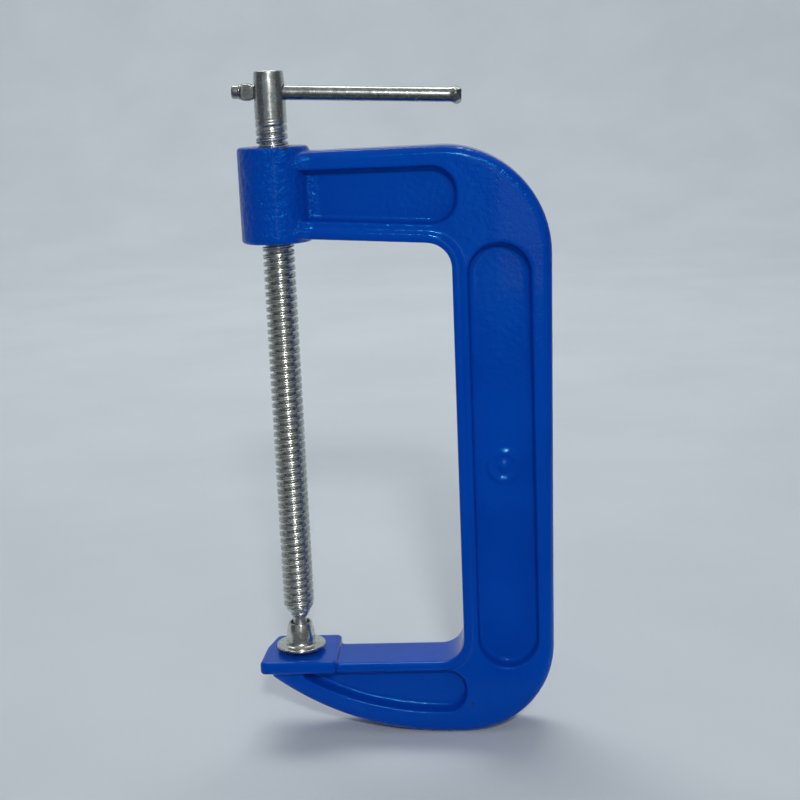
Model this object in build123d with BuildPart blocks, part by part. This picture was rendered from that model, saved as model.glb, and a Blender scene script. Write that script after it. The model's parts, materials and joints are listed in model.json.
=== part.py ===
from build123d import *
import os

# G clamp, 150 mm class: a cast C frame with a threaded boss, a screw with a sliding tommy bar
# through its head, and a swivel shoe crimped over the ball on the end of the screw.
#
# Millimetres.  +Z runs up the screw axis, from the anvil to the handle.  +X runs from the screw
# to the spine of the frame.  The origin is where the screw axis meets the face of the anvil.

# ---------------------------------------------------------------- screw and its thread
thread_pitch = 3.0              # right hand, single start
thread_major = 12.7
thread_depth = 1.35             # crest to root, radially
crest_width = 1.15              # along the axis
root_land = 0.75                # width of the valley floor, along the axis
thread_clearance = 0.25         # play between the screw and the boss, radially and axially
ridge_sink = 0.1                # how far the ridge is sunk into the core of the screw
nut_spare_turns = 2             # turns of the tapping tool past each end of the boss
screw_top = 236.0
thread_bottom = 19.2            # middle of the first ridge
thread_top = 218.0
head_diameter = 12.3
head_top_diameter = 11.4
head_taper_height = 8.0
screw_end = 15.0                # lower end of the cone under the thread
screw_end_diameter = 6.8
cone_top_z = 20.4               # where the cone meets the outside of the thread
cone_margin = 1.0               # how far its trimming tool reaches outside the thread
head_top_chamfer = 0.5

# ---------------------------------------------------------------- swivel shoe and ball
rest_gap = 1.5                  # shoe above the anvil at rest
shoe_diameter = 20.3
shoe_rim_thickness = 1.2
shoe_height = 10.7
cup_base_diameter = 11.7
cup_lip_diameter = 9.8
shoe_flare_radius = 1.6         # fillet between the cup and its flange
shoe_edge_round = 0.3
cup_straight_height = 6.0       # where the cup starts to close in over the ball
ball_diameter = 8.8
ball_height = 5.6               # ball centre above the face of the shoe
ball_play = 0.15
lip_bore_diameter = 8.0
neck_diameter = 5.6
neck_socket_depth = 2.2
neck_play = 0.1

# ---------------------------------------------------------------- tommy bar
bar_diameter = 5.6
bar_hole_diameter = 6.4
bar_z = 227.9                   # centre of the hole
bar_droop = 2.9                 # degrees: the long side hangs low in its loose hole
bar_left = -14.5                # ends of the bar, along it from the centre of the hole
bar_right = 74.0
lug_length = 6.2                # flattened lug that stops the bar, next to the head
lug_height = 6.8
lug_thickness = 4.6
stub_diameter = 5.2             # short end beyond the lug
stub_length = 2.8
stub_chamfer = 0.4
flare_length = 4.6
flare_diameter = 7.1
flare_round = 1.4
flare_land = 1.2                # widest part of the mushroomed end

# ---------------------------------------------------------------- frame
body_half = 10.6                # half thickness of the casting
web_half = 5.2                  # half thickness at the floor of the pockets
flange_half = 11.7              # half width of the flange round the throat
flange_thickness = 3.9
spine_inner_x = 68.2
spine_outer_top_x = 107.6
spine_outer_bottom_x = 104.5
arm_top_z = 206.2               # upper face of the top arm, at the spine
arm_top_rise = 1.0              # how much lower it is at the boss
throat_top_z = 168.4            # underside of the top arm, at the spine
throat_top_rise = 4.4           # how much higher it is at the boss
throat_bottom_z = -2.6          # upper face of the lower arm
throat_top_radius = 10.0
throat_bottom_radius = 9.5
frame_bottom_z = -34.5
crown_radius = 42.0
heel_radius = 37.5
keel_start_x = 62.0             # where the lower arm starts to taper
nose = (-11.5, -9.0)            # tip of the keel, under the anvil

boss_radius = 14.0
boss_top_z = 207.5
boss_bottom_z = 170.4

anvil_top_z = 0.0
anvil_thickness = 5.2
anvil_right_x = 15.7
anvil_half_depth = 15.6
anvil_left_points = ((-15.7, -anvil_half_depth), (-14.9, 2.5), (-12.0, anvil_half_depth))

# pockets in both sides of the frame
arm_pocket_top_z = 198.4
arm_pocket_right_x = 71.0
arm_pocket_bottom_z = 175.3     # at its right end
arm_pocket_bottom_rise = 4.4    # how much higher at the boss
arm_pocket_radius = 10.0
spine_pocket_left_x = 74.0
spine_pocket_right_x = 98.9
spine_pocket_top_z = 168.4
spine_pocket_bottom_z = -5.8
keel_pocket_bottom_z = -25.0
keel_pocket_centre_x = 60.0
keel_pocket_curve = 114.0       # radius of its long lower side
keel_pocket_right_x = 68.9
keel_pocket_corner = 8.5

# rounding of the casting
outer_round = 3.6
pocket_draft = 8                # degrees
pocket_floor_round = 1.6
keel_tip_round = 1.5
flange_round = 1.1
boss_round = 1.2
anvil_round = 1.0
anvil_corner_radius = 2.0

# plain raised casting mark in the front pocket of the spine: a ring and a pip
mark_z = 78.0
mark_ring_outer = 13.0
mark_ring_inner = 9.6
mark_pip = 3.6
mark_height = 0.7

# ---------------------------------------------------------------- derived sizes
crest_radius = thread_major / 2
root_radius = crest_radius - thread_depth
root_width = thread_pitch - root_land
thread_turns = int((thread_top - thread_bottom) / thread_pitch)
ball_z = rest_gap + ball_height
shoe_top_z = rest_gap + shoe_height
cup_shoulder_z = rest_gap + cup_straight_height
bar_radius = bar_diameter / 2
stub_radius = stub_diameter / 2
lug_left = bar_left + stub_length
flare_start = bar_right - flare_length
flare_peak = bar_right - flare_round - flare_land
boss_turns = int((boss_top_z - boss_bottom_z) / thread_pitch)
nut_thread_turns = boss_turns + 2 * nut_spare_turns
nut_start_turn = int((boss_bottom_z - thread_bottom) / thread_pitch) - nut_spare_turns
nut_thread_bottom = thread_bottom + nut_start_turn * thread_pitch
spine_pocket_x = (spine_pocket_left_x + spine_pocket_right_x) / 2
spine_pocket_width = spine_pocket_right_x - spine_pocket_left_x

FRONT = Plane.XZ                # sketches of the frame: x right, y up, normal towards -Y
BODY_FACE = FRONT.offset(body_half)
ALONG_BAR = Vector(1, 0, 0).rotate(Axis.Y, bar_droop)
BAR = Plane((0, 0, bar_z), x_dir=ALONG_BAR, z_dir=FRONT.z_dir)   # x along the bar, y up
TOUCHING = 0.01                 # distances and slopes below this count as none


def thread_ridge(first_z, turns, clearance=0.0):
    """A helical ridge of trapezoidal section, made turn by turn from ruled faces."""
    inner_radius = root_radius - ridge_sink
    half_root = root_width / 2 + clearance
    half_crest = crest_width / 2 + clearance
    outer_radius = crest_radius + clearance
    corners = (
        (inner_radius, -half_root),
        (outer_radius, -half_crest),
        (outer_radius, half_crest),
        (inner_radius, half_root),
    )
    faces = []
    for turn in range(turns):
        start_z = first_z + turn * thread_pitch
        helices = [
            Edge.make_helix(thread_pitch, thread_pitch, radius, center=(0, 0, start_z + dz))
            for radius, dz in corners
        ]
        for edge, next_edge in zip(helices, helices[1:] + helices[:1]):
            faces.append(Face.make_surface_from_curves(edge, next_edge))
        if turn == 0:
            faces.append(Face(Wire.make_polygon([helix @ 0 for helix in helices])))
        if turn == turns - 1:
            faces.append(Face(Wire.make_polygon([helix @ 1 for helix in helices])))
    return Solid(Shell(faces))


def throat_face(margin):
    """The open throat of the C, grown by a margin, with its rounded corners at the spine."""
    right = spine_inner_x + margin
    bottom = throat_bottom_z - margin
    top = throat_top_z + margin
    with BuildSketch(Plane.XY, mode=Mode.PRIVATE) as throat:
        with BuildLine():
            Polyline(
                (nose[0], bottom),
                (right, bottom),
                (right, top),
                (0, top + throat_top_rise),
                (nose[0], top + throat_top_rise),
                close=True,
            )
        make_face()
        lower_corner = throat.vertices().sort_by_distance((right, bottom))[0]
        fillet(lower_corner, throat_bottom_radius + margin)
        upper_corner = throat.vertices().sort_by_distance((right, top))[0]
        fillet(upper_corner, throat_top_radius + margin)
    return throat.sketch


def is_outer_face(face):
    """True for the outside walls of the C, false for the walls of the throat and its ends."""
    middle = face.center()
    return (
        middle.X > spine_inner_x + flange_thickness
        or middle.Z > throat_top_z + throat_top_rise + flange_thickness
        or middle.Z < throat_bottom_z - flange_thickness
    ) and middle.X > TOUCHING


def on_body_face(edge):
    return abs(abs(edge.center().Y) - body_half) < TOUCHING


def name_part(builder, label):
    builder.part.label = label
    export_step(builder.part, f"parts/{label}.step")


os.makedirs("parts", exist_ok=True)

# ---------------------------------------------------------------- pockets, as cutting tools
pocket_depth = body_half - web_half

with BuildPart() as arm_pocket:
    with BuildSketch(BODY_FACE) as arm_pocket_mouth:
        with BuildLine():
            Polyline(
                (0, arm_pocket_top_z),
                (arm_pocket_right_x, arm_pocket_top_z),
                (arm_pocket_right_x, arm_pocket_bottom_z),
                (0, arm_pocket_bottom_z + arm_pocket_bottom_rise),
                close=True,
            )
        make_face()
        fillet(arm_pocket_mouth.vertices().group_by(Axis.X)[-1], arm_pocket_radius)
    extrude(amount=-pocket_depth, taper=pocket_draft)
    fillet(arm_pocket.faces().sort_by(Axis.Y)[-1].edges(), pocket_floor_round)

with BuildPart() as spine_pocket:
    with BuildSketch(BODY_FACE):
        with Locations((spine_pocket_x, (spine_pocket_top_z + spine_pocket_bottom_z) / 2)):
            SlotOverall(spine_pocket_top_z - spine_pocket_bottom_z, spine_pocket_width, rotation=90)
    extrude(amount=-pocket_depth, taper=pocket_draft)
    fillet(spine_pocket.faces().sort_by(Axis.Y)[-1].edges(), pocket_floor_round)

with BuildPart() as keel_pocket:
    with BuildSketch(BODY_FACE) as keel_pocket_mouth:
        with Locations((keel_pocket_centre_x, keel_pocket_bottom_z + keel_pocket_curve)):
            Circle(keel_pocket_curve)
        keel_pocket_top_z = throat_bottom_z - flange_thickness
        with Locations((keel_pocket_right_x, keel_pocket_top_z)):
            Rectangle(
                keel_pocket_curve,
                keel_pocket_curve,
                align=(Align.MAX, Align.MAX),
                mode=Mode.INTERSECT,
            )
        fillet(keel_pocket_mouth.vertices().sort_by(Axis.X)[0], keel_tip_round)
        fillet(keel_pocket_mouth.vertices().group_by(Axis.X)[-1], keel_pocket_corner)
    extrude(amount=-pocket_depth, taper=pocket_draft)
    fillet(keel_pocket.faces().sort_by(Axis.Y)[-1].edges(), pocket_floor_round)

# ---------------------------------------------------------------- raised features of the frame
with BuildPart() as throat_flange:
    with BuildSketch(FRONT):
        add(throat_face(flange_thickness))
        add(throat_face(0), mode=Mode.SUBTRACT)
        with Locations((nose[0], throat_top_z)):
            Rectangle(-nose[0], boss_top_z, align=(Align.MIN, Align.CENTER), mode=Mode.SUBTRACT)
    extrude(amount=flange_half, both=True)
    side_faces = throat_flange.faces().filter_by(Axis.Y)
    long_edges = side_faces.edges().filter_by(lambda e: e.length > 2 * flange_thickness)
    fillet(long_edges, flange_round)

with BuildPart() as boss:
    with BuildSketch(Plane.XY.offset(boss_bottom_z)):
        Circle(boss_radius)
    extrude(amount=boss_top_z - boss_bottom_z)
    fillet(boss.edges().filter_by(GeomType.CIRCLE), boss_round)

with BuildPart() as anvil:
    with BuildSketch(Plane.XY.offset(anvil_top_z - anvil_thickness)) as anvil_plan:
        with BuildLine():
            Polyline(
                (anvil_right_x, anvil_half_depth),
                (anvil_right_x, -anvil_half_depth),
                *anvil_left_points,
                close=True,
            )
        make_face()
        fillet(anvil_plan.vertices(), anvil_corner_radius)
    extrude(amount=anvil_thickness)
    fillet(anvil.faces().filter_by(Axis.Z).edges(), anvil_round)

# ---------------------------------------------------------------- frame
with BuildPart() as frame:
    # solid outline of the C, from the boss round to the nose of the keel
    with BuildSketch(FRONT) as outline:
        with BuildLine():
            Polyline(
                (nose[0], throat_bottom_z),
                (spine_inner_x, throat_bottom_z),
                (spine_inner_x, throat_top_z),
                (0, throat_top_z + throat_top_rise),
                (0, arm_top_z - arm_top_rise),
                (spine_outer_top_x, arm_top_z),
                (spine_outer_bottom_x, frame_bottom_z),
                (keel_start_x, frame_bottom_z),
            )
            TangentArc((keel_start_x, frame_bottom_z), nose, tangent=(-1, 0))
            Line(nose, (nose[0], throat_bottom_z))
        make_face()
        fillet(outline.vertices().sort_by_distance((spine_outer_top_x, arm_top_z))[0], crown_radius)
        fillet(
            outline.vertices().sort_by_distance((spine_outer_bottom_x, frame_bottom_z))[0],
            heel_radius,
        )
        fillet(
            outline.vertices().sort_by_distance((spine_inner_x, throat_bottom_z))[0],
            throat_bottom_radius,
        )
        fillet(
            outline.vertices().sort_by_distance((spine_inner_x, throat_top_z))[0],
            throat_top_radius,
        )
    extrude(amount=body_half, both=True)

    # heavy rounding of the outer edge of the casting
    outer_faces = frame.faces().filter_by(lambda f: abs(f.normal_at().Y) < TOUCHING)
    outer_edges = outer_faces.filter_by(is_outer_face).edges().filter_by(on_body_face)
    fillet(outer_edges, outer_round)

    for pocket in (arm_pocket, spine_pocket, keel_pocket):
        add(pocket.part, mode=Mode.SUBTRACT)
        mirror(pocket.part, about=Plane.XZ, mode=Mode.SUBTRACT)

    for feature in (throat_flange, boss, anvil):
        add(feature.part)

    # threaded hole through the boss
    with BuildSketch(Plane.XY.offset(boss_bottom_z)):
        Circle(root_radius + thread_clearance)
    extrude(amount=boss_top_z - boss_bottom_z, mode=Mode.SUBTRACT)
    add(thread_ridge(nut_thread_bottom, nut_thread_turns, thread_clearance), mode=Mode.SUBTRACT)

    # raised casting mark on the web of the spine
    with BuildSketch(FRONT.offset(web_half)):
        with Locations((spine_pocket_x, mark_z)):
            Circle(mark_ring_outer / 2)
            Circle(mark_ring_inner / 2, mode=Mode.SUBTRACT)
            Circle(mark_pip / 2)
    extrude(amount=mark_height)

name_part(frame, "frame")

# ---------------------------------------------------------------- screw
with BuildPart() as screw:
    with BuildSketch(Plane.XZ):
        with BuildLine():
            Polyline(
                (0, screw_end),
                (screw_end_diameter / 2, screw_end),
                (root_radius, thread_bottom - root_width / 2),
                (root_radius, thread_top),
                (head_diameter / 2, thread_top),
                (head_diameter / 2, screw_top - head_taper_height),
                (head_top_diameter / 2, screw_top - head_top_chamfer),
                (head_top_diameter / 2 - head_top_chamfer, screw_top),
                (0, screw_top),
                close=True,
            )
        make_face()
    revolve(axis=Axis.Z)
    add(thread_ridge(thread_bottom, thread_turns))
    # cone that trims the first turn of the thread
    with BuildSketch(Plane.XZ):
        with BuildLine():
            Polyline(
                (screw_end_diameter / 2, screw_end),
                (crest_radius + cone_margin, screw_end),
                (crest_radius + cone_margin, cone_top_z),
                (crest_radius, cone_top_z),
                close=True,
            )
        make_face()
    revolve(axis=Axis.Z, mode=Mode.SUBTRACT)
    # cross hole for the tommy bar
    with BuildSketch(Plane.YZ):
        with Locations((0, bar_z)):
            Circle(bar_hole_diameter / 2)
    extrude(amount=head_diameter, both=True, mode=Mode.SUBTRACT)
    # socket in the lower end for the neck of the ball
    with BuildSketch(Plane.XY.offset(screw_end)):
        Circle(neck_diameter / 2 + neck_play)
    extrude(amount=neck_socket_depth + neck_play, mode=Mode.SUBTRACT)

name_part(screw, "screw")

# ---------------------------------------------------------------- ball end of the screw
with BuildPart() as ball_end:
    with Locations((0, 0, ball_z)):
        Sphere(ball_diameter / 2)
    with BuildSketch(Plane.XY.offset(ball_z)):
        Circle(neck_diameter / 2)
    extrude(amount=screw_end + neck_socket_depth - ball_z)

name_part(ball_end, "ball_end")

# ---------------------------------------------------------------- tommy bar
with BuildPart() as tommy_bar:
    with BuildSketch(BAR):
        with BuildLine():
            Polyline(
                (bar_left, 0),
                (bar_left, stub_radius - stub_chamfer),
                (bar_left + stub_chamfer, stub_radius),
                (lug_left, stub_radius),
                (lug_left, bar_radius),
                (flare_start, bar_radius),
                (flare_peak, flare_diameter / 2),
                (bar_right - flare_round, flare_diameter / 2 - flare_round / 4),
                (bar_right, flare_diameter / 2 - flare_round),
                (bar_right, 0),
                close=True,
            )
        make_face()
    revolve(axis=Axis(BAR.origin, BAR.x_dir))
    # lug squeezed out of the bar, flat in front and behind
    with BuildSketch(BAR):
        with Locations((lug_left + lug_length / 2, 0)):
            Ellipse(lug_length / 2, lug_height / 2)
    extrude(amount=lug_thickness / 2, both=True)

name_part(tommy_bar, "tommy_bar")

# ---------------------------------------------------------------- swivel shoe
with BuildPart() as swivel_shoe:
    with BuildSketch(Plane.XZ):
        with BuildLine():
            Polyline(
                (0, rest_gap),
                (shoe_diameter / 2 - shoe_edge_round, rest_gap),
                (shoe_diameter / 2, rest_gap + shoe_edge_round),
                (shoe_diameter / 2, rest_gap + shoe_rim_thickness - shoe_edge_round),
                (shoe_diameter / 2 - shoe_edge_round, rest_gap + shoe_rim_thickness),
                (cup_base_diameter / 2 + shoe_flare_radius, rest_gap + shoe_rim_thickness),
            )
            flare = TangentArc(
                (cup_base_diameter / 2 + shoe_flare_radius, rest_gap + shoe_rim_thickness),
                (cup_base_diameter / 2, rest_gap + shoe_rim_thickness + shoe_flare_radius),
                tangent=(-1, 0),
            )
            Polyline(
                flare @ 1,
                (cup_base_diameter / 2, cup_shoulder_z),
                (cup_lip_diameter / 2, shoe_top_z),
                (0, shoe_top_z),
                (0, rest_gap),
            )
        make_face()
    revolve(axis=Axis.Z)
    with Locations((0, 0, ball_z)):
        Sphere(ball_diameter / 2 + ball_play, mode=Mode.SUBTRACT)
    with BuildSketch(Plane.XY.offset(ball_z)):
        Circle(lip_bore_diameter / 2)
    extrude(amount=shoe_height, mode=Mode.SUBTRACT)

name_part(swivel_shoe, "swivel_shoe")
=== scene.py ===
import bpy
import bmesh
import json
import math
from mathutils import Matrix, Vector, noise


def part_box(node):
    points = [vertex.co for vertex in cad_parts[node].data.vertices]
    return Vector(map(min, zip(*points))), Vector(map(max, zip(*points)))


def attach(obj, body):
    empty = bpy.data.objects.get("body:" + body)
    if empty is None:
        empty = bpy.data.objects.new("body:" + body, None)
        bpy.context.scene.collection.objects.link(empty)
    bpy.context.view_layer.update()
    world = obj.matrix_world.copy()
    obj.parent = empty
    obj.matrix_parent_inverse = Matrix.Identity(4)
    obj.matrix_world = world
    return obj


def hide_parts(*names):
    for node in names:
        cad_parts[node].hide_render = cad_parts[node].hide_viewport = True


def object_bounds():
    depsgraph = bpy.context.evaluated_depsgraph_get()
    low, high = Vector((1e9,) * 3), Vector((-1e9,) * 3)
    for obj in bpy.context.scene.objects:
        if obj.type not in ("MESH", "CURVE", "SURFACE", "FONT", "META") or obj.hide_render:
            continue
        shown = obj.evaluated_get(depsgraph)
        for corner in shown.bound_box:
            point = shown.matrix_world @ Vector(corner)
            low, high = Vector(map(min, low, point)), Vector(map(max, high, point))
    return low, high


# A 150 mm G clamp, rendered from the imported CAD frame.  Metres, in the CAD row frame:
# +Z up the screw axis, +X from the screw to the spine, origin on the face of the anvil.

MM = 0.001
TAU = 2 * math.pi

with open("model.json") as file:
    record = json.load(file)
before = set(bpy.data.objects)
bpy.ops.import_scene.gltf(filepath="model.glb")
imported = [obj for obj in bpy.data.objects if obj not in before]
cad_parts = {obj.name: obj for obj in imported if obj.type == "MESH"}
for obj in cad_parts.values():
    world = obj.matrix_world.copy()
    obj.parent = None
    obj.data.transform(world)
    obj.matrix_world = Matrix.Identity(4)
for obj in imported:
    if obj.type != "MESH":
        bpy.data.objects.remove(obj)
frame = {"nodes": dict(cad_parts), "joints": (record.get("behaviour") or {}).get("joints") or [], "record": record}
cad_low, cad_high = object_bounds()

# ---------------------------------------------------------------- sizes read from the frame
frame_low, frame_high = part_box("frame")
screw_low, screw_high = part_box("screw")
shoe_low, shoe_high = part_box("swivel_shoe")
bar_low, bar_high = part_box("tommy_bar")
ball_low, ball_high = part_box("ball_end")

JOINTS = {joint["name"]: joint for joint in frame["joints"]}
TURN_RATIO = frame["record"]["behaviour"]["couplings"][0]["ratio"]
PITCH = TURN_RATIO * TAU                       # thread pitch
BALL_Z = JOINTS["shoe_tilt"]["pos_m"][2]       # centre of the ball
BAR_Z = 227.9 * MM                             # centre of the hole for the bar
BAR_AXIS = Vector(JOINTS["bar_slide"]["axis"])
BAR_DROOP = math.atan2(-BAR_AXIS.z, BAR_AXIS.x)
CREST_R = screw_high.x                         # outer radius of the thread
SHOE_R = shoe_high.x
BALL_R = ball_high.x


# ---------------------------------------------------------------- mesh helpers
def new_object(name, verts, faces, smooth=True):
    mesh = bpy.data.meshes.new(name)
    mesh.from_pydata(verts, [], faces)
    mesh.update()
    obj = bpy.data.objects.new(name, mesh)
    bpy.context.scene.collection.objects.link(obj)
    if smooth:
        for polygon in mesh.polygons:
            polygon.use_smooth = True
    return obj


def clean(obj, distance=1e-6):
    """Merges doubled points, dissolves degenerate edges and turns the normals outwards."""
    bm = bmesh.new()
    bm.from_mesh(obj.data)
    bmesh.ops.remove_doubles(bm, verts=bm.verts, dist=distance)
    bmesh.ops.dissolve_degenerate(bm, edges=bm.edges, dist=distance)
    bmesh.ops.recalc_face_normals(bm, faces=bm.faces)
    bm.to_mesh(obj.data)
    bm.free()
    obj.data.update()


def apply_modifiers(obj):
    """Replaces the object's mesh by its evaluated one, and drops the modifiers."""
    bpy.context.view_layer.update()
    depsgraph = bpy.context.evaluated_depsgraph_get()
    mesh = bpy.data.meshes.new_from_object(obj.evaluated_get(depsgraph))
    obj.modifiers.clear()
    obj.data = mesh
    for polygon in mesh.polygons:
        polygon.use_smooth = True


def smoothstep(low, high, value):
    t = min(max((value - low) / (high - low), 0.0), 1.0)
    return t * t * (3 - 2 * t)


def arc(centre_r, centre_z, radius, start_deg, end_deg, steps):
    """Points of a profile arc as (r, z), angles from the r axis towards z."""
    points = []
    for i in range(steps + 1):
        angle = math.radians(start_deg + (end_deg - start_deg) * i / steps)
        points.append((centre_r + radius * math.cos(angle), centre_z + radius * math.sin(angle)))
    return points


def lathe(name, profile, columns, shape=None):
    """Turns a profile of (r, z) round the Z axis; shape(r, z, angle) may bend each point."""
    verts = []
    faces = []
    for r, z in profile:
        for j in range(columns):
            angle = TAU * j / columns
            point_r, point_z = shape(r, z, angle) if shape else (r, z)
            verts.append((point_r * math.cos(angle), point_r * math.sin(angle), point_z))
    for i in range(len(profile) - 1):
        for j in range(columns):
            k = (j + 1) % columns
            a, b = i * columns, (i + 1) * columns
            faces.append((a + j, a + k, b + k, b + j))
    return new_object(name, verts, faces)


# ---------------------------------------------------------------- material helpers
class Nodes:
    """Short ways to add and link shader nodes."""

    def __init__(self, name):
        self.material = bpy.data.materials.new(name)
        self.material.use_nodes = True
        self.tree = self.material.node_tree
        self.shader = self.tree.nodes["Principled BSDF"]
        coords = self.tree.nodes.new("ShaderNodeTexCoord")
        self.place = coords.outputs["Object"]

    def link(self, output, target):
        self.tree.links.new(output, target)

    def noise(self, scale, detail=3.0, roughness=0.5, place=None):
        node = self.tree.nodes.new("ShaderNodeTexNoise")
        node.inputs["Scale"].default_value = scale
        node.inputs["Detail"].default_value = detail
        node.inputs["Roughness"].default_value = roughness
        self.link(place or self.place, node.inputs["Vector"])
        return node.outputs["Fac"]

    def stretched(self, scale):
        node = self.tree.nodes.new("ShaderNodeMapping")
        node.inputs["Scale"].default_value = scale
        self.link(self.place, node.inputs["Vector"])
        return node.outputs["Vector"]

    def voronoi(self, scale):
        node = self.tree.nodes.new("ShaderNodeTexVoronoi")
        node.inputs["Scale"].default_value = scale
        self.link(self.place, node.inputs["Vector"])
        return node.outputs["Distance"]

    def ramp(self, factor, stops):
        node = self.tree.nodes.new("ShaderNodeValToRGB")
        elements = node.color_ramp.elements
        while len(elements) < len(stops):
            elements.new(0.5)
        for element, (position, colour) in zip(elements, stops):
            element.position = position
            element.color = (*colour, 1.0)
        self.link(factor, node.inputs["Fac"])
        return node.outputs["Color"]

    def remap(self, factor, from_low, from_high, to_low, to_high):
        node = self.tree.nodes.new("ShaderNodeMapRange")
        for key, value in (("From Min", from_low), ("From Max", from_high)):
            node.inputs[key].default_value = value
        for key, value in (("To Min", to_low), ("To Max", to_high)):
            node.inputs[key].default_value = value
        self.link(factor, node.inputs["Value"])
        return node.outputs["Result"]

    def math(self, operation, a, b):
        node = self.tree.nodes.new("ShaderNodeMath")
        node.operation = operation
        for socket, value in zip(node.inputs, (a, b)):
            if isinstance(value, (int, float)):
                socket.default_value = value
            else:
                self.link(value, socket)
        return node.outputs["Value"]

    def mix(self, factor, a, b):
        node = self.tree.nodes.new("ShaderNodeMix")
        node.data_type = "RGBA"
        self.link(factor, node.inputs["Factor"])
        for key, value in (("A", a), ("B", b)):
            socket = [s for s in node.inputs if s.name == key and s.type == "RGBA"][0]
            if isinstance(value, tuple):
                socket.default_value = (*value, 1.0)
            else:
                self.link(value, socket)
        return [s for s in node.outputs if s.type == "RGBA"][0]

    def attribute(self, name):
        node = self.tree.nodes.new("ShaderNodeAttribute")
        node.attribute_name = name
        return node.outputs["Fac"]

    def bump(self, height, strength, distance, below=None):
        node = self.tree.nodes.new("ShaderNodeBump")
        node.inputs["Strength"].default_value = strength
        node.inputs["Distance"].default_value = distance
        self.link(height, node.inputs["Height"])
        if below is not None:
            self.link(below, node.inputs["Normal"])
        return node.outputs["Normal"]

    def set(self, **sockets):
        names = {"color": "Base Color", "rough": "Roughness", "metal": "Metallic",
                 "normal": "Normal", "coat": "Coat Weight", "coat_rough": "Coat Roughness",
                 "ior": "IOR", "specular": "Specular IOR Level", "tint": "Specular Tint"}
        for key, value in sockets.items():
            socket = self.shader.inputs[names[key]]
            if isinstance(value, bpy.types.NodeSocket):
                self.link(value, socket)
            else:
                socket.default_value = value


# ---------------------------------------------------------------- materials
def blue_enamel():
    """Thick glossy stove enamel: a slightly uneven coat with small pimples and worn chips."""
    n = Nodes("blue_enamel")
    broad = n.noise(28.0, 2.0)
    colour = n.ramp(broad, ((0.30, (0.0002, 0.046, 0.370)), (0.70, (0.0003, 0.057, 0.415))))
    wear = n.attribute("wear")
    ragged = n.math("ADD", wear, n.remap(n.noise(900.0, 4.0, 0.65), 0.3, 0.7, -0.22, 0.22))
    chip = n.remap(ragged, 0.50, 0.56, 0.0, 1.0)
    iron_tones = ((0.35, (0.012, 0.011, 0.012)), (0.7, (0.05, 0.045, 0.042)))
    iron = n.ramp(n.noise(1500.0, 2.0), iron_tones)
    n.set(color=n.mix(chip, colour, iron))
    rough = n.remap(n.noise(160.0, 3.0), 0.3, 0.7, 0.10, 0.18)
    n.set(rough=n.math("ADD", rough, n.math("MULTIPLY", chip, 0.5)))
    peel = n.bump(n.noise(620.0, 3.0, 0.55), 0.10, 0.00026)
    specks = n.remap(n.voronoi(190.0), 0.07, 0.0, 0.0, 1.0)
    pimples = n.bump(specks, 0.6, 0.0003, peel)
    rough_cast = n.math("MULTIPLY", n.attribute("coarse"), n.noise(430.0, 3.0, 0.6))
    cast = n.bump(rough_cast, 0.85, 0.0015, pimples)
    edge = n.math("MULTIPLY", chip, -1.0)
    n.set(normal=n.bump(edge, 0.6, 0.00025, cast))
    n.set(coat=0.08, coat_rough=0.05, ior=1.40, tint=(0.05, 0.55, 1.0, 1.0))
    return n.material


def zinc(name, light, dark, streak, rough_low, rough_high):
    """Bright zinc plate: uneven grey-green bloom, fine draw marks and small dark stains."""
    n = Nodes(name)
    bloom = n.noise(700.0, 4.0, 0.62)
    colour = n.ramp(bloom, ((0.34, dark), (0.62, light)))
    stains = n.remap(n.noise(520.0, 4.0, 0.7), 0.64, 0.76, 0.0, 0.45)
    stain = tuple(channel * 0.28 for channel in dark)
    n.set(color=n.mix(stains, colour, stain), metal=1.0)
    marks = n.noise(1.0, 3.0, 0.6, n.stretched(streak))
    rough = n.remap(n.noise(420.0, 3.0, 0.6), 0.3, 0.7, rough_low, rough_high)
    n.set(rough=n.math("ADD", rough, n.math("MULTIPLY", stains, 0.25)))
    drawn = n.bump(marks, 0.25, 0.00012)
    n.set(normal=n.bump(n.noise(900.0, 3.0, 0.6), 0.30, 0.00010, drawn))
    return n.material


def paper_floor():
    n = Nodes("paper_floor")
    paper_tones = ((0.35, (0.565, 0.600, 0.630)), (0.70, (0.600, 0.635, 0.665)))
    n.set(color=n.ramp(n.noise(7.0, 4.0), paper_tones))
    n.set(rough=0.85, specular=0.15)
    n.set(normal=n.bump(n.noise(260.0, 3.0), 0.12, 0.0003))
    return n.material


# ---------------------------------------------------------------- frame casting
VOXEL = 0.50 * MM
BORE_R = CREST_R + 0.35 * MM


def soften_casting():
    """The CAD frame remeshed and smoothed, so that every edge is round under its enamel."""
    source = frame["nodes"]["frame"]
    casting = bpy.data.objects.new("frame_casting", source.data.copy())
    casting.data.materials.clear()
    bpy.context.scene.collection.objects.link(casting)
    for vertex in casting.data.vertices:
        co = vertex.co
        radius = math.hypot(co.x, co.y)
        if radius < BORE_R and co.z > shoe_high.z:
            grow = BORE_R / radius
            co.x *= grow
            co.y *= grow
    clean(casting)
    remesh = casting.modifiers.new("remesh", "REMESH")
    remesh.mode = "VOXEL"
    remesh.voxel_size = VOXEL
    remesh.use_smooth_shade = True
    smooth = casting.modifiers.new("smooth", "SMOOTH")
    smooth.factor = 0.5
    smooth.iterations = 9
    apply_modifiers(casting)
    return casting


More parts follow.
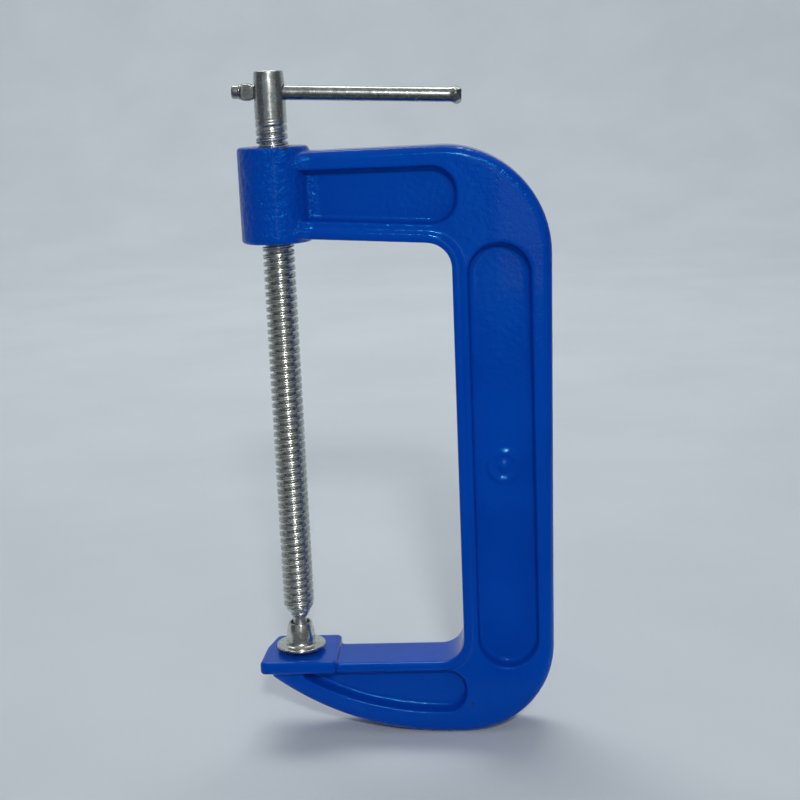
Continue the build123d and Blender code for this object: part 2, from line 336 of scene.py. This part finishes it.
# places where the enamel is knocked off, as (x, y, z, radius) in millimetres
CHIPS = (
    (7.0, -12.0, 207.3, 1.1),
    (3.9, -13.2, 207.3, 0.6),
    (10.2, -9.4, 207.3, 0.7),
    (106.3, -8.6, 82.8, 0.9),
    (106.0, -9.2, 54.6, 0.8),
    (106.6, -8.8, 98.6, 0.8),
    (104.9, 8.9, 120.4, 1.0),
    (50.1, -9.2, -28.6, 1.1),
    (34.7, -9.4, -26.6, 0.8),
    (59.2, -9.0, -31.0, 0.9),
    (70.7, -10.6, -21.5, 0.55),
    (88.0, 9.6, -31.6, 1.2),
    (-12.5, -15.2, -4.6, 0.8),
    (15.4, 14.9, -0.6, 0.9),
)


def paint_wear(casting):
    """Writes where the enamel is chipped, and where the casting under it is coarse."""
    mesh = casting.data
    wear = mesh.attributes.new("wear", "FLOAT", "POINT")
    coarse = mesh.attributes.new("coarse", "FLOAT", "POINT")
    chips = [(Vector(chip[:3]) * MM, chip[3] * MM) for chip in CHIPS]
    for index, vertex in enumerate(mesh.vertices):
        co = vertex.co
        radius = math.hypot(co.x, co.y)
        boss = smoothstep(19 * MM, 13.5 * MM, radius) * smoothstep(160 * MM, 172 * MM, co.z)
        crown = smoothstep(80 * MM, 100 * MM, co.x + 0.5 * (co.z - 165 * MM))
        crown *= smoothstep(140 * MM, 165 * MM, co.z)
        coarse.data[index].value = 0.10 + 0.90 * max(boss, 0.30 * crown)
        wear.data[index].value = max(
            smoothstep(2 * size, 0.0, (co - centre).length) for centre, size in chips
        )


casting = soften_casting()
paint_wear(casting)
casting.data.materials.append(blue_enamel())
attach(casting, "frame")
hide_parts("frame")


# ---------------------------------------------------------------- screw
THREAD_COLUMNS = 72
PROFILE_STEPS = 22
THREAD_PHASE = 19.2 * MM                       # height of a ridge's middle on the +X side
CONE_TOP = 20.4 * MM
THREAD_HIGH = 218.0 * MM
RUN_OUT = 13.0 * MM
HEAD_R = 6.15 * MM
HEAD_TOP_R = 5.7 * MM
CONE_LOW_R = 3.4 * MM
NECK_R = 2.8 * MM
GROOVE_DEPTH = 1.30 * MM
FLANK_FROM = 0.78 * MM                         # the flank, from the crest's middle outwards
FLANK_TO = 1.30 * MM
CROWN_DROP = 0.14 * MM                         # how far the crest falls off towards its edges
CROWN_FROM = 0.42 * MM
CROWN_TO = 0.85 * MM
SEAM_DEPTH = 0.36 * MM                         # the seam that thread rolling leaves in the crest
SEAM_WIDTH = 0.21 * MM


def groove(offset):
    """Depth of the thread below its crest, at a distance along the axis from its middle."""
    distance = abs(offset)
    valley = GROOVE_DEPTH * smoothstep(FLANK_FROM, FLANK_TO, distance)
    crown = CROWN_DROP * smoothstep(CROWN_FROM, CROWN_TO, distance)
    seam = SEAM_DEPTH * math.exp(-((distance / SEAM_WIDTH) ** 2))
    return valley + crown + seam


def screw_radius(z, offset):
    """Radius of the screw at a height, with the thread fading out towards the head."""
    fade = smoothstep(THREAD_HIGH, THREAD_HIGH - RUN_OUT, z)
    outer = HEAD_R + (CREST_R - HEAD_R) * fade
    cut = (0.16 + 0.84 * fade) * smoothstep(THREAD_HIGH, THREAD_HIGH - MM, z)
    radius = outer - groove(offset) * cut
    slope = (CREST_R - CONE_LOW_R) / (CONE_TOP - screw_low.z)
    cone = CONE_LOW_R + (z - screw_low.z) * slope
    return min(radius, cone - 0.45 * groove(offset) * smoothstep(0.0, MM, z - screw_low.z))


def threaded_rod():
    """A grid that follows the helix: rows run across the thread, columns round the axis."""
    turns = math.ceil((THREAD_HIGH - screw_low.z) / PITCH) + 2
    rows = turns * PROFILE_STEPS
    first = THREAD_PHASE - math.ceil((THREAD_PHASE - screw_low.z) / PITCH + 1.5) * PITCH
    verts = []
    faces = []
    for i in range(rows + 1):
        offset = ((i % PROFILE_STEPS) / PROFILE_STEPS) * PITCH
        offset -= PITCH if offset > PITCH / 2 else 0.0
        for j in range(THREAD_COLUMNS):
            angle = TAU * j / THREAD_COLUMNS
            z = first + PITCH * (i / PROFILE_STEPS + j / THREAD_COLUMNS)
            z = min(max(z, screw_low.z), THREAD_HIGH)
            radius = screw_radius(z, offset)
            radius += 0.035 * MM * noise.noise(Vector((math.cos(angle), math.sin(angle), z * 900)))
            radius = min(radius, CREST_R)
            if z <= screw_low.z:
                radius = CONE_LOW_R
            elif z >= THREAD_HIGH:
                radius = HEAD_R
            verts.append((radius * math.cos(angle), radius * math.sin(angle), z))
    for i in range(rows):
        for j in range(THREAD_COLUMNS - 1):
            a = i * THREAD_COLUMNS + j
            b = a + THREAD_COLUMNS
            faces.append((a, a + 1, b + 1, b))
        if i + PROFILE_STEPS < rows:
            a = i * THREAD_COLUMNS + THREAD_COLUMNS - 1
            c = (i + PROFILE_STEPS) * THREAD_COLUMNS
            faces.append((a, c, c + THREAD_COLUMNS, a + THREAD_COLUMNS))
    return new_object("thread_grid", verts, faces)


def screw_head():
    """The plain head above the thread, pierced by the hole for the bar."""
    top = screw_high.z
    taper = top - 8.0 * MM
    profile = [(HEAD_R, THREAD_HIGH)]
    steps = 26
    for i in range(1, steps + 1):
        profile.append((HEAD_R, THREAD_HIGH + (taper - THREAD_HIGH) * i / steps))
    for i in range(1, 15):
        t = i / 15
        height = taper + (top - 0.5 * MM - taper) * t
        profile.append((HEAD_R + (HEAD_TOP_R - HEAD_R) * t ** 1.4, height))
    profile += arc(HEAD_TOP_R - 0.55 * MM, top - 0.55 * MM, 0.55 * MM, 0, 90, 5)
    profile += [(HEAD_TOP_R * 0.6, top - 0.05 * MM), (HEAD_TOP_R * 0.3, top - 0.12 * MM)]
    profile.append((0.0, top - 0.1 * MM))

    def dents(r, z, angle):
        swell = 0.05 * MM * noise.noise(Vector((2 * math.cos(angle), 2 * math.sin(angle), z * 350)))
        away = smoothstep(THREAD_HIGH, THREAD_HIGH + MM, z)
        return max(r + swell * away - 0.03 * MM * away, 0.0) if r > 0 else 0.0, z

    return lathe("head_grid", profile, THREAD_COLUMNS, dents)


def lower_socket():
    """Closes the lower end of the screw with the socket that the ball's neck goes into."""
    bore = NECK_R + 0.1 * MM
    depth = 2.3 * MM
    z = screw_low.z
    profile = [(0.0, z + depth), (bore, z + depth), (bore, z), (CONE_LOW_R, z)]
    return lathe("socket_grid", profile, THREAD_COLUMNS)


def join(objects, name):
    bpy.ops.object.select_all(action="DESELECT")
    for obj in objects:
        obj.select_set(True)
    bpy.context.view_layer.objects.active = objects[0]
    bpy.ops.object.join()
    objects[0].name = name
    objects[0].data.name = name
    return objects[0]


def pierce(obj, radius, z):
    """Cuts the plain cross hole along X."""
    reach = 12 * MM
    profile = [(0.0, -reach), (radius, -reach), (radius, -5.7 * MM)]
    profile += [(radius, 5.7 * MM), (radius, reach), (0.0, reach)]
    cutter = lathe("hole_cutter", profile, 48)
    clean(cutter)
    cutter.data.transform(Matrix.Translation((0, 0, z)) @ Matrix.Rotation(math.pi / 2, 4, "Y"))
    boolean = obj.modifiers.new("hole", "BOOLEAN")
    boolean.operation = "DIFFERENCE"
    boolean.solver = "EXACT"
    boolean.object = cutter
    apply_modifiers(obj)
    bpy.data.objects.remove(cutter)


screw = join([threaded_rod(), screw_head(), lower_socket()], "zinc_screw")
clean(screw, 2e-6)
pierce(screw, 3.2 * MM, BAR_Z)
screw.data.materials.append(
    zinc("zinc_screw", (0.70, 0.71, 0.66), (0.52, 0.53, 0.49), (300, 300, 2500), 0.20, 0.32)
)
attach(screw, "screw")
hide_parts("screw")


# ---------------------------------------------------------------- ball end
def ball_profile():
    start = math.degrees(math.acos(NECK_R / BALL_R))
    points = arc(0.0, BALL_Z, BALL_R, -90, start, 28)
    points += [(NECK_R, screw_low.z), (NECK_R, ball_high.z), (0.0, ball_high.z)]
    return points


ball = lathe("ball_and_neck", ball_profile(), 64)
clean(ball)
ball.data.materials.append(
    zinc("zinc_ball", (0.66, 0.67, 0.63), (0.36, 0.37, 0.34), (400, 400, 1200), 0.22, 0.36)
)
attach(ball, "jaw")
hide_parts("ball_end")


# ---------------------------------------------------------------- swivel shoe
def shoe_profile():
    low = shoe_low.z
    rim = 0.35 * MM
    flange = 1.25 * MM
    cup = 5.85 * MM
    flare = 1.7 * MM
    lip = 4.9 * MM
    top = shoe_high.z
    socket = BALL_R + 0.15 * MM
    mouth = 4.0 * MM
    points = [(0.0, low + 0.12 * MM), (SHOE_R * 0.5, low + 0.06 * MM), (SHOE_R * 0.85, low)]
    points += arc(SHOE_R - rim, low + rim, rim, -90, 0, 4)
    points += arc(SHOE_R - rim, low + flange - rim, rim, 0, 90, 4)
    points.append((cup + flare + 0.8 * MM, low + flange + 0.02 * MM))
    points += arc(cup + flare, low + flange + flare, flare, -90, -180, 8)
    for i in range(1, 9):
        t = i / 9
        height = low + flange + flare + (top - 0.55 * MM - low - flange - flare) * t
        points.append((cup + (lip - cup) * t ** 2.2, height))
    points += arc(lip - 0.5 * MM, top - 0.5 * MM, 0.5 * MM, 0, 90, 5)
    points += arc(mouth + 0.35 * MM, top - 0.35 * MM, 0.35 * MM, 90, 180, 4)
    opening = math.degrees(math.acos(mouth / socket))
    points += arc(0.0, BALL_Z, socket, opening, -90, 24)
    return points


def hammered(r, z, angle):
    """The crimping leaves the lip and the cup a little uneven."""
    lift = smoothstep(shoe_low.z + 3 * MM, shoe_high.z, z)
    wave = noise.noise(Vector((1.6 * math.cos(angle), 1.6 * math.sin(angle), z * 260)))
    if r < 4.6 * MM:
        return r, z
    return r + 0.14 * MM * wave * lift, z


shoe = lathe("pressed_shoe", shoe_profile(), 96, hammered)
clean(shoe)
shoe.data.materials.append(
    zinc("zinc_shoe", (0.74, 0.75, 0.68), (0.50, 0.51, 0.45), (500, 500, 500), 0.18, 0.32)
)
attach(shoe, "shoe")
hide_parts("swivel_shoe")


# ---------------------------------------------------------------- tommy bar
BAR_LEFT = -14.5 * MM                          # ends of the bar, along it from the hole's centre
BAR_RIGHT = 74.0 * MM
BAR_R = 2.8 * MM
STUB_R = 2.6 * MM
FLARE_R = 3.55 * MM
LUG_LEFT = -11.7 * MM
LUG_RIGHT = -5.9 * MM
LUG_HALF_HEIGHT = 3.35 * MM
LUG_HALF_DEPTH = 1.75 * MM
FACET_RIGHT = -4.7 * MM                        # the flat runs a little way into the hole
BAR_COLUMNS = 72

# flats beaten on the mushroomed end: outward direction and distance from (BAR_RIGHT, 0, 0)
FLATS = (
    (Vector((0.62, -0.75, 0.25)), 1.45 * MM),
    (Vector((0.45, -0.35, -0.82)), 1.90 * MM),
    (Vector((0.70, 0.10, 0.70)), 1.30 * MM),
    (Vector((0.12, -0.96, -0.24)), 2.75 * MM),
    (Vector((0.20, -0.45, 0.86)), 2.50 * MM),
    (Vector((0.55, 0.80, -0.20)), 1.20 * MM),
    (Vector((0.10, 0.70, 0.71)), 2.85 * MM),
)


def bar_radius(x):
    if x < LUG_LEFT:
        edge = smoothstep(BAR_LEFT, BAR_LEFT + 0.6 * MM, x)
        return STUB_R - 0.45 * MM * (1 - math.sqrt(edge))
    flare = smoothstep(BAR_RIGHT - 5.0 * MM, BAR_RIGHT - 1.8 * MM, x)
    radius = BAR_R + (FLARE_R - BAR_R) * flare ** 1.5
    t = max(0.0, (x - (BAR_RIGHT - 1.7 * MM)) / (1.7 * MM))
    return radius - 1.5 * MM * (1 - math.sqrt(max(0.0, 1 - t * t)))


def bar_section(x, angle):
    """Point of the bar's skin: round, but squeezed flat in front and behind at the lug."""
    along = (x - (LUG_LEFT + LUG_RIGHT) / 2) / ((LUG_RIGHT - LUG_LEFT) / 2)
    radius = bar_radius(x)
    radius += (LUG_HALF_HEIGHT - radius) * smoothstep(1.0, 0.25, abs(along))
    flat = abs(x - (LUG_LEFT + FACET_RIGHT) / 2) / ((FACET_RIGHT - LUG_LEFT) / 2)
    depth = LUG_HALF_DEPTH + 1.5 * MM * smoothstep(0.60, 1.15, flat)
    y = min(max(radius * math.cos(angle), -depth), depth)
    point = Vector((x, y, radius * math.sin(angle)))
    for direction, distance in FLATS:
        normal = direction.normalized()
        proud = (point - Vector((BAR_RIGHT, 0, 0))).dot(normal) - distance
        if proud > 0 and x > BAR_RIGHT - 5.5 * MM:
            point -= normal * proud
    return point


def tommy_bar():
    """A round bar with a squeezed lug and stub at one end and a mushroomed other end."""
    stations = [BAR_LEFT + i * 0.2 * MM for i in range(46)]
    middle, fine = stations[-1], BAR_RIGHT - 6 * MM
    stations += [middle + (fine - middle) * i / 40 for i in range(1, 41)]
    stations += [fine + (BAR_RIGHT - fine) * i / 36 for i in range(1, 37)]
    verts = []
    for x in stations:
        for j in range(BAR_COLUMNS):
            verts.append(bar_section(x, TAU * j / BAR_COLUMNS))
    faces = []
    for i in range(len(stations) - 1):
        for j in range(BAR_COLUMNS):
            k = (j + 1) % BAR_COLUMNS
            a, b = i * BAR_COLUMNS, (i + 1) * BAR_COLUMNS
            faces.append((a + j, b + j, b + k, a + k))
    faces.append(tuple(range(BAR_COLUMNS)))
    last = (len(stations) - 1) * BAR_COLUMNS
    faces.append(tuple(last + j for j in reversed(range(BAR_COLUMNS))))
    obj = new_object("zinc_bar", verts, faces)
    droop = Matrix.Rotation(BAR_DROOP, 4, "Y")
    obj.data.transform(Matrix.Translation((0, 0, BAR_Z)) @ droop)
    return obj


bar = tommy_bar()
clean(bar)
# painted shade: the bar gets the screw's zinc in much darker tones, standing in for the dark reflections and shade
# along it
bar.data.materials.append(
    zinc("zinc_bar", (0.44, 0.45, 0.42), (0.25, 0.26, 0.24), (120, 900, 900), 0.18, 0.30)
)
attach(bar, "tommy_bar")
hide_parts("tommy_bar")


# ---------------------------------------------------------------- floor, lights, camera
FLOOR_R = 1.6
SWEEP_R = 1.2
WALL_TOP = 3.0


def add_floor():
    """A pale paper floor that sweeps up all round, so that it has no horizon."""
    z = cad_low.z
    profile = [(0.0, z), (0.3, z), (0.8, z)]
    profile += arc(FLOOR_R, z + SWEEP_R, SWEEP_R, -90, 0, 24)
    profile.append((FLOOR_R + SWEEP_R, z + WALL_TOP))
    floor = lathe("floor", profile, 128)
    floor.data.materials.append(paper_floor())


def add_area_light(name, place, target, size, power, spread=180):
    light = bpy.data.lights.new(name, "AREA")
    light.shape = "RECTANGLE"
    light.size, light.size_y = size
    light.energy = power
    light.spread = math.radians(spread)
    obj = bpy.data.objects.new(name, light)
    obj.location = place
    obj.rotation_euler = (Vector(target) - Vector(place)).to_track_quat("-Z", "Y").to_euler()
    bpy.context.scene.collection.objects.link(obj)


def add_world():
    world = bpy.data.worlds.new("studio")
    world.use_nodes = True
    background = world.node_tree.nodes["Background"]
    background.inputs["Color"].default_value = (0.86, 0.93, 1.0, 1.0)
    background.inputs["Strength"].default_value = 0.45
    bpy.context.scene.world = world


CAMERA_PLACE = Vector((77.55, -550.95, 225.2)) * MM
CAMERA_TARGET = Vector((45.51, 0.0, 105.33)) * MM
CAMERA_ROLL = 2.354                            # degrees, to the right
CAMERA_LENS = 63.27                            # mm, on a 36 mm wide sensor


def add_camera():
    camera = bpy.data.cameras.new("camera")
    camera.lens = CAMERA_LENS
    camera.sensor_width = 36.0
    camera.clip_start = 0.01
    camera.clip_end = 60.0
    obj = bpy.data.objects.new("camera", camera)
    look = (CAMERA_TARGET - CAMERA_PLACE).to_track_quat("-Z", "Y").to_matrix().to_4x4()
    roll = Matrix.Rotation(-math.radians(CAMERA_ROLL), 4, "Z")
    obj.matrix_world = Matrix.Translation(CAMERA_PLACE) @ look @ roll
    bpy.context.scene.collection.objects.link(obj)
    bpy.context.scene.camera = obj


def upright(left, right, top):
    """Corners of a card that stands on the floor between two points."""
    z = cad_low.z
    return [(*left, z), (*right, z), (*right, top), (*left, top)]


def lying(left, right, near, far):
    """Corners of a card that lies just above the floor."""
    z = cad_low.z + 1.0 * MM
    return [(left, near, z), (right, near, z), (right, far, z), (left, far, z)]


def add_card(name, verts):
    """A dark card that shows only in reflections, as round metal is photographed."""
    card = new_object(name, verts, [(0, 1, 2, 3)], smooth=False)
    n = Nodes(name)
    n.set(color=(0.16, 0.16, 0.17, 1.0), rough=0.9, specular=0.0)
    card.data.materials.append(n.material)
    card.visible_camera = False
    card.visible_shadow = False
    card.visible_diffuse = False


add_floor()
add_world()
middle = (cad_low + cad_high) / 2
behind = middle + Vector((0.0, 1.5, 0.2))
add_area_light("key", middle + Vector((0.18, -1.35, 0.74)), middle, (0.14, 0.14), 0.75, 50)
add_area_light("front", middle + Vector((0.14, -1.30, 0.12)), middle, (0.16, 0.60), 0.55)
add_area_light("back", middle + Vector((-0.2, 1.0, 1.9)), behind, (1.6, 1.0), 27.0)
add_card("card_left", upright((-0.60, 0.05), (-0.39, -0.46), 0.7))
add_card("card_right", upright((0.50, -0.34), (0.56, 0.20), 0.7))
add_card("card_floor", lying(-0.5, 0.6, -1.2, -0.06))
add_camera()
bpy.context.scene.view_settings.view_transform = "Standard"
